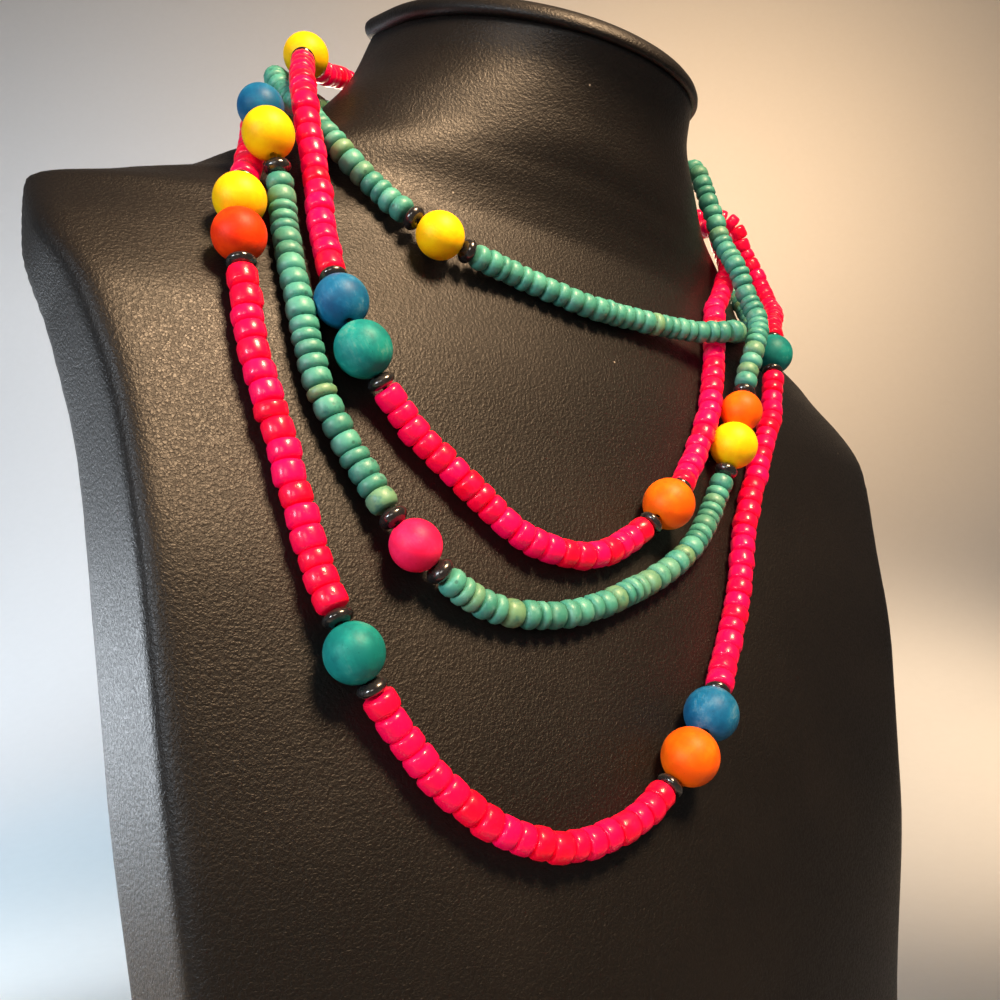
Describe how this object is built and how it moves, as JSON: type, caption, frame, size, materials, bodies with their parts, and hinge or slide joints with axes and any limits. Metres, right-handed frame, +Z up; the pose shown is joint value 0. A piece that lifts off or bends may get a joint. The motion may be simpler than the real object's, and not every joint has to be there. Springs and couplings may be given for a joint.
{
  "type": "beaded necklace on a neck bust",
  "caption": "Beaded necklace of pink and turquoise rows with larger bright wooden beads between black spacers, draped on a plain black leatherette neck bust.",
  "frame": {"origin": "centre of the footprint of the whole, on the surface the bust stands on", "axes": "+Z up along the bust's height, -Y the way the chest faces, +X towards the right as seen from the front"},
  "size_m": [0.268, 0.0913, 0.3661],
  "materials": {
    "leatherette": "black leatherette with a fine pebbled grain, satin",
    "clasp_metal": "plain satin metal",
    "black_spacer": "polished black",
    "pink_bead": "glossy fluorescent pink-red",
    "turquoise_bead": "satin, mottled teal to turquoise",
    "yellow_bead": "satin paint over turned wood",
    "orange_bead": "satin paint over turned wood",
    "orange_red_bead": "satin paint over turned wood",
    "blue_bead": "satin paint over turned wood",
    "teal_bead": "satin paint over turned wood, chalky with wear",
    "magenta_bead": "satin paint over turned wood"
  },
  "bodies": {
    "root": {"bust_body": "leatherette", "clasp": "clasp_metal", "lower_pink_1_bead_orangeRed": "orange_red_bead", "lower_pink_1_bead_yellow": "yellow_bead", "lower_pink_1_spacer_after": "black_spacer", "lower_pink_1_spacer_before": "black_spacer", "lower_pink_2_bead_teal": "teal_bead", "lower_pink_2_spacer_after": "black_spacer", "lower_pink_2_spacer_before": "black_spacer", "lower_pink_3_bead_blue": "blue_bead", "lower_pink_3_bead_orange": "orange_bead", "lower_pink_3_spacer_after": "black_spacer", "lower_pink_3_spacer_before": "black_spacer", "lower_pink_4_bead_teal": "teal_bead", "lower_pink_4_spacer_after": "black_spacer", "lower_pink_4_spacer_before": "black_spacer", "lower_pink_run_1": "pink_bead", "lower_pink_run_2": "pink_bead", "lower_pink_run_3": "pink_bead", "lower_pink_run_4": "pink_bead", "lower_pink_run_5": "pink_bead", "lower_turquoise_1_bead_blue": "blue_bead", "lower_turquoise_1_bead_yellow": "yellow_bead", "lower_turquoise_1_spacer_after": "black_spacer", "lower_turquoise_1_spacer_before": "black_spacer", "lower_turquoise_2_bead_magenta": "magenta_bead", "lower_turquoise_2_spacer_after": "black_spacer", "lower_turquoise_2_spacer_before": "black_spacer", "lower_turquoise_3_bead_orange": "orange_bead", "lower_turquoise_3_bead_yellow": "yellow_bead", "lower_turquoise_3_spacer_after": "black_spacer", "lower_turquoise_3_spacer_before": "black_spacer", "lower_turquoise_run_1": "turquoise_bead", "lower_turquoise_run_2": "turquoise_bead", "lower_turquoise_run_3": "turquoise_bead", "lower_turquoise_run_4": "turquoise_bead", "neck_lip": "leatherette", "upper_pink_1_bead_yellow": "yellow_bead", "upper_pink_1_spacer_after": "black_spacer", "upper_pink_1_spacer_before": "black_spacer", "upper_pink_2_bead_blue": "blue_bead", "upper_pink_2_bead_teal": "teal_bead", "upper_pink_2_spacer_after": "black_spacer", "upper_pink_2_spacer_before": "black_spacer", "upper_pink_3_bead_orange": "orange_bead", "upper_pink_3_spacer_after": "black_spacer", "upper_pink_3_spacer_before": "black_spacer", "upper_pink_run_1": "pink_bead", "upper_pink_run_2": "pink_bead", "upper_pink_run_3": "pink_bead", "upper_pink_run_4": "pink_bead", "upper_turquoise_1_bead_yellow": "yellow_bead", "upper_turquoise_1_spacer_after": "black_spacer", "upper_turquoise_1_spacer_before": "black_spacer", "upper_turquoise_run_1": "turquoise_bead", "upper_turquoise_run_2": "turquoise_bead"}
  },
  "joints": []
}
